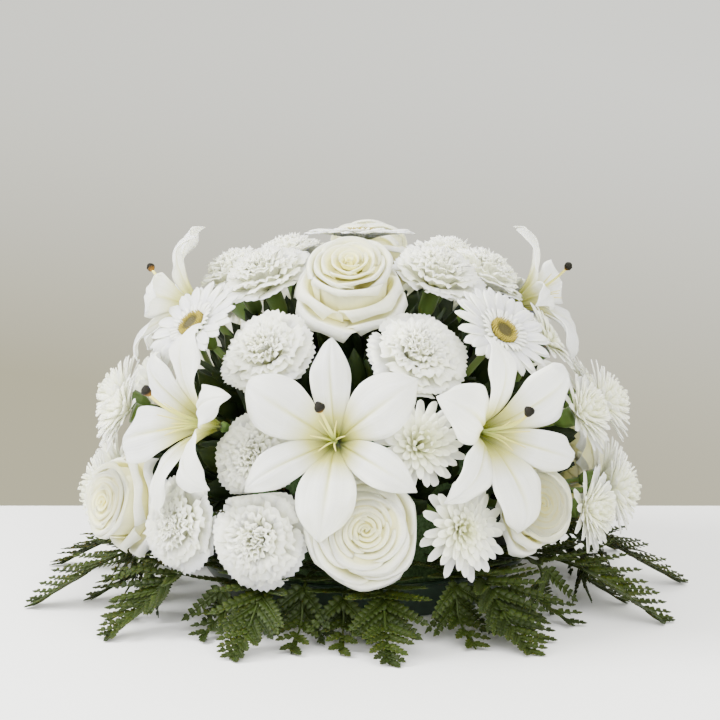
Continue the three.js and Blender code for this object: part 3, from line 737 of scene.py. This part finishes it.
def disc_finish():
    """Gerbera florets: olive brown in the middle of the disc, golden where their tone is 1."""
    material, tree, shader, add = finish_nodes("gerbera_florets")
    inputs = {0: grain(add, 500, 2), 1: 0.35, 2: tone_of(add)}
    share = add("ShaderNodeMath", inputs, operation="MULTIPLY_ADD").outputs[0]
    ramp = blended(add, share, (0.045, 0.036, 0.0012), (0.35, 0.28, 0.022), 0.2)
    fill_in(tree, shader, {"Base Color": ramp.outputs["Color"], "Roughness": 0.7})
    return material


def speckled_finish(name, dark, light, scale, roughness, depth):
    """A plain finish with a fine grain: foam, plastic or a painted table."""
    material, tree, shader, add = finish_nodes(name)
    specks = grain(add, scale, 6)
    fill_in(tree, shader, {
        "Base Color": blended(add, specks, dark, light, 0.35, 0.65).outputs["Color"],
        "Normal": bumps(add, specks, depth, 0.001),
        "Roughness": roughness,
    })
    return material


def pistil_finish():
    """Pale green-yellow, and near black at the stigma, which has a tone of 1."""
    material, tree, shader, add = finish_nodes("pistil")
    along = add("ShaderNodeGroup", node_tree=VEINS).outputs["Along"]
    pale = blended(add, along, (0.5, 0.6, 0.18), (0.66, 0.58, 0.16))
    dark = blended(add, along, (0.2, 0.09, 0.01), (0.008, 0.007, 0.004), end=0.45)
    stigma = add("ShaderNodeMath", {0: tone_of(add), 1: 0.9}, operation="GREATER_THAN").outputs[0]
    inputs = {"Factor": stigma, "A": pale.outputs["Color"], "B": dark.outputs["Color"]}
    colour = add("ShaderNodeMix", inputs, data_type="RGBA").outputs["Result"]
    fill_in(tree, shader, {"Base Color": colour, "Roughness": 0.65, "Specular IOR Level": 0.12})
    return material


WHITE = (0.985, 0.99, 0.83)
CREAM = (0.89, 0.9, 0.66)
FINISH = {
    "lily": petal_finish(
        "lily_petal", (0.09, 0.11, 0.005), (0.46, 0.44, 0.1), (0.89, 0.905, 0.74), None,
        lines=26, depth=0.7, root_end=0.4, streak=(0.8, 0.79, 0.38),
    ),
    # The rose's colour ramp runs from its own cream-yellow root nearly to the rim, so it also paints golden
    # shade on the lower part of each petal, down in the gaps between the whorls
    "rose": petal_finish(
        "rose_petal", (0.8, 0.72, 0.22), (0.88, 0.84, 0.38), CREAM, (0.98, 0.95, 0.54),
        lines=14, depth=0.12, root_end=0.97,
    ),
    "gerbera": petal_finish(
        "gerbera_petal", (0.7, 0.75, 0.35), (0.9, 0.92, 0.75), WHITE, None,
        lines=9, depth=0.3, root_end=0.35,
    ),
    "carnation": petal_finish(
        "carnation_petal", (0.86, 0.87, 0.42), (0.96, 0.97, 0.72), WHITE, (0.99, 0.99, 0.9),
        lines=18, depth=0.3, root_end=0.7,
    ),
    "chrysanthemum": petal_finish(
        "chrysanthemum_petal", (0.76, 0.8, 0.34), (0.95, 0.96, 0.68), WHITE, (0.95, 0.96, 0.66),
        lines=7, depth=0.25, root_end=0.55,
    ),
    "stem": leaf_finish("green_stem", (0.025, 0.05, 0.009), (0.08, 0.13, 0.028), 5, 0.45),
    "fern": leaf_finish("fern_leaf", (0.005, 0.01, 0.001), (0.027, 0.042, 0.004), 12, 0.5),
    # The filler leaves are near black: their own dark green, darkened further as painted shade for the deep
    # gaps between the blooms
    "filler": leaf_finish("filler_leaf", (0.002, 0.0055, 0.001), (0.011, 0.021, 0.004), 12, 0.6),
    "pistil": pistil_finish(),
    "disc": disc_finish(),
    "foam": speckled_finish("wet_foam", (0.02, 0.05, 0.01), (0.05, 0.1, 0.03), 420, 0.9, 0.6),
    "tray": speckled_finish("tray_plastic", (0.006, 0.018, 0.008), (0.01, 0.028, 0.014), 60, 0.35, 0.03),
}


# Pieces


def put_together(name, meshes, finishes, slot, *nodes):
    """One piece from its meshes, whose points are already in place in millimetres."""
    start_piece()
    objects = []
    for mesh in meshes:
        for finish in finishes:
            mesh.materials.append(FINISH[finish])
        piece = bpy.data.objects.new(name, mesh)
        bpy.context.scene.collection.objects.link(piece)
        piece.select_set(True)
        objects.append(piece)
    bpy.context.view_layer.objects.active = objects[0]
    if len(objects) > 1:
        bpy.ops.object.join()
    piece = bpy.context.view_layer.objects.active
    piece.name = name
    piece.data.name = name
    piece.data.transform(Matrix.Scale(MM, 4))
    piece.data.update()
    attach(piece, "root")
    if nodes:
        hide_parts(*nodes)
    return piece


def placed(mesh, points):
    copy = mesh.copy()
    copy.vertices.foreach_set("co", points.ravel())
    return copy


def smoothed(mesh):
    mesh.polygons.foreach_set("use_smooth", [True] * len(mesh.polygons))
    return mesh


def green_parts(heads, trunk):
    """The stems and calyxes of a node's heads, in the posy's frame, with the second finish."""
    greens = Gathered()
    for head in heads:
        radius = STEM[head.kind][0] * head.size * 0.9
        end = trunk[0] if trunk else head.end
        greens.tube(STEM_TUBE, [end, (end * 2 + head.base) / 3, head.base], [radius] * 3, 0.5)
        path = [through(head.place, np.array([0.0, 0, z])) for z, _ in CALYX[head.kind]]
        greens.tube(ROUND_TUBE, path, [r * head.size for _, r in CALYX[head.kind]], 0.7)
    if trunk:
        radius = STEM[heads[0].kind][0] * 0.95
        greens.tube(STEM_TUBE, [trunk[1], (trunk[0] + trunk[1]) / 2, trunk[0]], [radius] * 3, 0.4)
    mesh = smoothed(greens.mesh("stems"))
    mesh.polygons.foreach_set("material_index", [1] * len(mesh.polygons))
    return mesh


def pistil(head):
    """The style with its three-lobed stigma, and six bare filaments."""
    parts = Gathered()
    style = [(0, 0, -42.5), (0, 3, -24), (0, 6.5, -5), (-1.4, 11.5, 8), (-3, 17, 18)]
    stigma = [(-2.8, 16.4, 17), (-3.4, 18.4, 19.4), (-4.0, 20.3, 21.6), (-4.4, 21.6, 23.6)]
    filament = ((0.6, -40), (2.6, -27), (7, -12), (13.4, 1.5))
    parts.tube(LONG_TUBE, style, [1.1, 1.4, 1.3, 1.2, 1.4], 0.2)
    parts.tube(ROUND_TUBE, stigma, [1.5, 3.7, 4.3, 2.6], 1.0)
    for k in range(6):
        cos, sin = math.cos(math.radians(60 * k)), math.sin(math.radians(60 * k))
        parts.tube(THIN_TUBE, [(r * cos, r * sin, z) for r, z in filament], [1.0, 0.8, 0.7, 0.35], 0.3)
    mesh = smoothed(parts.mesh("pistil"))
    points = coordinates(mesh)
    upper = points[:, 2] > 17
    lobes = 0.12 * np.cos(3 * np.arctan2(points[:, 1] - 20, points[:, 0] + 4))
    spread = (points - np.array([-3.8, 19.8, 0])) * np.array([1, 1, 0])
    points[upper] += (spread * lobes[:, None])[upper]
    return placed(mesh, through(head.place, points))


def florets(head):
    """The disc: a low dome with a spiral of tiny buds, the ring of open ones standing up."""
    parts = Gathered()
    parts.tube(ROUND_TUBE, [(0, 0, -5.4), (0, 0, -3), (0, 0, -0.5), (0, 0, 1)], [6.5, 10.5, 11.2, 4], 0.0)
    for i in range(DISC_FLORETS):
        radius = 11.8 * math.sqrt((i + 0.5) / DISC_FLORETS)
        turn = math.radians(i * SPIRAL_TURN)
        ring = math.exp(-(((radius - 9.3) / 2.4) ** 2))
        foot = np.array([radius * math.cos(turn), radius * math.sin(turn), -1.2])
        tip = foot * np.array([1.06, 1.06, 0]) + np.array([0, 0, 1.7 + 1.4 * ring])
        parts.tube(FINE_TUBE, [foot, (foot + tip) / 2, tip], [0.75, 0.72, 0.2], ring)
    mesh = smoothed(parts.mesh("florets"))
    return placed(mesh, through(head.place, coordinates(mesh)))


def turned_round(row):
    return (row[0], row[1] + 180) + row[2:]


def group_rows():
    groups = []
    for half in (HALF, [turned_round(row) for row in HALF]):
        groups += [[row] for row in half if not row[8]]
        for spray in dict.fromkeys(row[8] for row in half if row[8]):
            groups.append([row for row in half if row[8] == spray])
    return groups + [[TOP]]


def build_blooms():
    groups = [[Head(row) for row in rows] for rows in group_rows()]
    settle([head for heads in groups for head in heads])
    numbers = {}

    def numbered(name):
        numbers[name] = numbers.get(name, 0) + 1
        return f"{name}_{numbers[name]}"

    for heads in groups:
        kind = heads[0].kind
        trunk = None
        if len(heads) > 1:
            direction = unit(sum(towards(head.centre) for head in heads))
            surface = foam_reach(direction)
            trunk = [along_ray(direction, surface + TRUNK_RISE), along_ray(direction, surface - STEM_DEPTH)]
        meshes = [placed(head.form, head.points) for head in heads] + [green_parts(heads, trunk)]
        name = numbered(kind if not trunk else f"{kind}_spray")
        put_together(f"{name}_petals", meshes, [kind, "stem"], f"{kind}_petal", name)
        if kind == "lily":
            inner = numbered("lily_pistil")
            put_together(f"{inner}_fine", [pistil(heads[0])], ["pistil"], "pistil", inner)
        if kind == "gerbera":
            inner = numbered("gerbera_disc")
            put_together(f"{inner}_fine", [florets(heads[0])], ["disc"], "flower_disc", inner)


def leaflet_outline(v):
    return np.select([v < 0.1, v < 0.9], [0.85, 1.0], 0.06)


def leaflet(greens, root, axes, lengths, tone):
    """One small leaf, folded a little along its middle and curled down."""
    greens.leaf(LEAFLET_SHEET, root, axes, lengths, leaflet_outline, (-0.15, -0.12), tone)


def frond_mesh(azimuth, reach, above, rng, pinnae):
    """A twice-cut fern frond on the line of its solid: rachis, pinnae and their leaflets."""
    greens = Gathered()
    pairs, longest = pinnae
    first, last = 0.03, 0.99
    rim_top = in_plan(azimuth, TRAY_RIM - 8, 45 + above / 2)
    knots = np.array([0, 0.17, 0.38, 0.74, 1.0])
    line = np.array([
        rim_top,
        in_plan(azimuth, 160, 46 + above),
        in_plan(azimuth, 195, 43 + above),
        in_plan(azimuth, reach - 38, 22),
        in_plan(azimuth, reach, 1.6),
    ])
    side = in_plan(azimuth + 90, 1, 0)

    def spine(share):
        return curve_through(knots, line, np.array([min(share, 1.0)]))[0]

    foot = in_plan(azimuth, FOAM_RADIUS - STEM_DEPTH, 43)
    greens.tube(THIN_TUBE, [foot, rim_top, spine(0.1)], [1.7, 1.7, 1.6], 0.6)
    greens.tube(LONG_TUBE, [spine(s) for s in (0.08, 0.3, 0.55, 0.8, 1.0)], [1.6, 1.3, 1.0, 0.7, 0.3], 0.6)
    for k in range(pairs):
        share = first + (last - first) * (1 - (1 - k / pairs) ** 1.4)
        length = longest * min(0.45 + 1.1 * share, 1) * (1 - share) ** 0.66 + 3.5
        ahead = unit(spine(share + 0.03) - spine(max(share - 0.03, 0)))
        up = unit(np.cross(side, ahead))
        tone = rng.random()
        for hand in (-1, 1):
            lean = math.radians(rng.uniform(50, 62) - 14 * share)
            droop = rng.uniform(0.1, 0.28)
            out = unit(hand * side * math.sin(lean) + ahead * math.cos(lean) - up * droop)
            root = spine(share + (0.02 if hand > 0 else 0))
            steps = max(3, round(length / 5.0))
            across = unit(np.cross(up, out))

            def rib(along):
                return root + length * (out * along - up * 0.12 * along**2 + ahead * 0.1 * along**2)

            for j in range(steps):
                along = (j + 0.35) / steps
                small = min(0.13 * length + 1.5, 7.0) * (1 - along) ** 0.55 + 2
                for way in (-1, 1):
                    direction = unit(across * way + out * rng.uniform(0.5, 0.7) - up * rng.uniform(0, 0.1))
                    axes = (direction, unit(np.cross(up, direction)), up)
                    own_tone = tone + rng.uniform(-0.1, 0.1)
                    leaflet(greens, rib(along), axes, (small, 0.22 * small + 1.3), own_tone)
            leaflet(greens, rib(0.9), (out, across, up), (length * 0.13 + 2, 1.6), tone)
            greens.tube(FINE_TUBE, [root, rib(0.5), rib(0.95)], [0.8, 0.6, 0.3], tone)
    end_axes = (unit(spine(1) - spine(0.9)), side, np.array([0, 0, 1.0]))
    leaflet(greens, spine(0.9), end_axes, (17, 2.4), 0.5)
    mesh = greens.mesh("frond")
    points = coordinates(mesh)
    points[:, 2] = np.maximum(points[:, 2], 0.9)
    mesh.vertices.foreach_set("co", points.ravel())
    return mesh


def build_fronds():
    """The collar. Its leaflets end a little inside the tip of the solid."""
    for i, (azimuth, reach, above) in enumerate(FRONDS):
        rng = random.Random(f"frond {i}")
        mesh = thickened(frond_mesh(azimuth, reach - 10, above, rng, FROND_PINNAE), LEAF_THICKNESS)
        put_together(f"frond_{i + 1}_leaflets", [mesh], ["fern"], "fern_leaf", f"frond_{i + 1}")


def filler_outline(v):
    return np.sin(math.pi * np.clip(v * 0.93 + 0.07, 0, 1)) ** 0.8


def any_direction(rng):
    return np.array([rng.uniform(-1, 1) for _ in range(3)])


def build_gap_foliage(rng):
    """Foliage between the stems, deep enough to show only in the gaps. Its near-black colour is dark green,
    darkened further as painted shade for the gaps.
    """
    greens = Gathered()
    for i in range(GAP_LEAVES):
        z = 0.02 + 0.975 * ((i + 0.5) / GAP_LEAVES) ** 0.85
        turn = math.radians(i * SPIRAL_TURN)
        flat = math.sqrt(1 - z * z)
        direction = np.array([flat * math.cos(turn), flat * math.sin(turn), z])
        reach = 1 / math.hypot(flat / DOME_RADIUS, z / (DOME_RISE + 12))
        root = FOCUS + direction * reach * rng.uniform(0.58, 0.66)
        along = unit(direction + 0.35 * any_direction(rng))
        lengths, tone = (reach * rng.uniform(0.2, 0.27), rng.uniform(8, 13)), rng.random()
        side = unit(np.cross(along, unit(any_direction(rng))))
        axes = (along, side, np.cross(side, along))
        greens.leaf(NARROW_SHEET, root, axes, lengths, filler_outline, (0.25, 0.12), tone)
    mesh = thickened(greens.mesh("gap_foliage"), LEAF_THICKNESS)
    put_together("gap_foliage", [mesh], ["filler"], "fern_leaf")


def build_short_ferns(rng):
    """Short fronds between the long ones of the collar."""
    skirt = []
    for i in range(SHORT_FERNS):
        azimuth = 360 / SHORT_FERNS * i + rng.uniform(-5, 5)
        reach = 222 + 22 * rng.random()
        mesh = frond_mesh(azimuth, reach, -4 + 9 * (i % 2), rng, SHORT_PINNAE)
        skirt.append(thickened(mesh, LEAF_THICKNESS))
    put_together("short_ferns", skirt, ["fern"], "fern_leaf")


def build_holder():
    """The tray, turned from its profile with a rolled lip. The foam keeps its solid."""
    start_piece()
    bpy.ops.mesh.primitive_circle_add(vertices=96, radius=TRAY_FOOT - 3, fill_type="NGON")
    piece = bpy.context.object
    bpy.ops.object.mode_set(mode="EDIT")
    bpy.ops.mesh.select_all(action="SELECT")
    rim = TRAY_RIM
    outline = [
        (TRAY_FOOT - 1, 0.6), (TRAY_FOOT, 2), (rim - 6, 22), (rim - 1, 30), (rim + 2.5, 31.4),
        (rim + TRAY_LIP - 0.6, 32.4), (rim + TRAY_LIP, 33.6), (rim + TRAY_LIP - 1, 34.8),
        (rim + 1, TRAY_HEIGHT), (rim - TRAY_WALL, 34.4), (rim - TRAY_WALL - 1.5, 31),
        (TRAY_FOOT - TRAY_WALL, 3.6),
    ]
    radius, height = TRAY_FOOT - 3, 0
    for next_radius, next_height in outline:
        bpy.ops.mesh.extrude_region_move(TRANSFORM_OT_translate={"value": (0, 0, next_height - height)})
        share = next_radius / radius
        bpy.ops.transform.resize(value=(share, share, 1), center_override=(0, 0, next_height))
        radius, height = next_radius, next_height
    bpy.ops.mesh.select_all(action="SELECT")
    bpy.ops.mesh.normals_make_consistent(inside=False)
    bpy.ops.object.mode_set(mode="OBJECT")
    bpy.ops.object.shade_smooth_by_angle(angle=math.radians(35))
    mesh = piece.data.copy()
    bpy.data.objects.remove(piece)
    put_together("tray_turned", [mesh], ["tray"], "tray_plastic", "tray")
    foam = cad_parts["foam"]
    foam.data.materials.clear()
    foam.data.materials.append(FINISH["foam"])


def build_backdrop():
    """A warm grey studio wall as the world, with painted light: lighter towards its top and its right."""
    world = bpy.data.worlds.new("studio")
    bpy.context.scene.world = world
    world.use_nodes = True
    tree = world.node_tree
    add = node_adder(tree)
    split = add("ShaderNodeSeparateXYZ", {0: add("ShaderNodeTexCoord").outputs["Generated"]}).outputs
    # Painted light and shade on the wall: darker low down, lighter towards the top and to the right
    inputs = {"Value": split["Z"], "From Min": -0.2, "From Max": 0.03}
    rise = add("ShaderNodeMapRange", inputs, interpolation_type="SMOOTHSTEP").outputs["Result"]
    inputs = {"Value": split["X"], "From Min": -0.18, "From Max": 0.18, "To Min": -0.22, "To Max": 0.12}
    sideways = add("ShaderNodeMapRange", inputs).outputs["Result"]
    painted_wall_light = add("ShaderNodeMath", {0: rise, 1: sideways}, use_clamp=True).outputs[0]
    colour = blended(add, painted_wall_light, (0.385, 0.36, 0.25), (0.745, 0.745, 0.69)).outputs["Color"]
    fill_in(tree, tree.nodes["Background"], {"Color": colour, "Strength": 1.7})


def aimed(name, data, place, target):
    """A light or camera at a place, pointed at a target."""
    piece = bpy.data.objects.new(name, data)
    piece.location = place
    piece.rotation_euler = (Vector(target) - Vector(place)).to_track_quat("-Z", "Y").to_euler()
    bpy.context.scene.collection.objects.link(piece)
    return piece


def build_stage():
    """A white table whose far edge lies just behind the ferns, soft lights and the camera."""
    start_piece()
    middle = (0, (TABLE_BACK - TABLE_FRONT) / 2, -TABLE_THICKNESS / 2)
    bpy.ops.mesh.primitive_cube_add(size=1, location=middle)
    table = bpy.context.object
    table.name = "table"
    table.scale = (2 * TABLE_SIDE, TABLE_FRONT + TABLE_BACK, TABLE_THICKNESS)
    bpy.ops.object.transform_apply(location=True, rotation=True, scale=True)
    paint = speckled_finish("table_top", (0.86, 0.86, 0.85), (0.88, 0.88, 0.87), 3, 0.5, 0.02)
    table.data.materials.append(paint)

    build_backdrop()
    for name, place, size, power in LIGHTS:
        data = bpy.data.lights.new(name, "AREA")
        data.size = size
        data.energy = power
        aimed(name, data, place, LIGHT_TARGET)

    data = bpy.data.cameras.new("camera")
    data.lens = CAMERA_LENS
    data.sensor_width = CAMERA_SENSOR
    tilt = math.radians(CAMERA_TILT)
    away = Vector((0, -math.cos(tilt), math.sin(tilt))) * CAMERA_DISTANCE
    bpy.context.scene.camera = aimed("camera", data, Vector(CAMERA_TARGET) + away, CAMERA_TARGET)


build_blooms()
build_fronds()
filler_rng = random.Random("filler")
build_gap_foliage(filler_rng)
build_short_ferns(filler_rng)
build_holder()
build_stage()
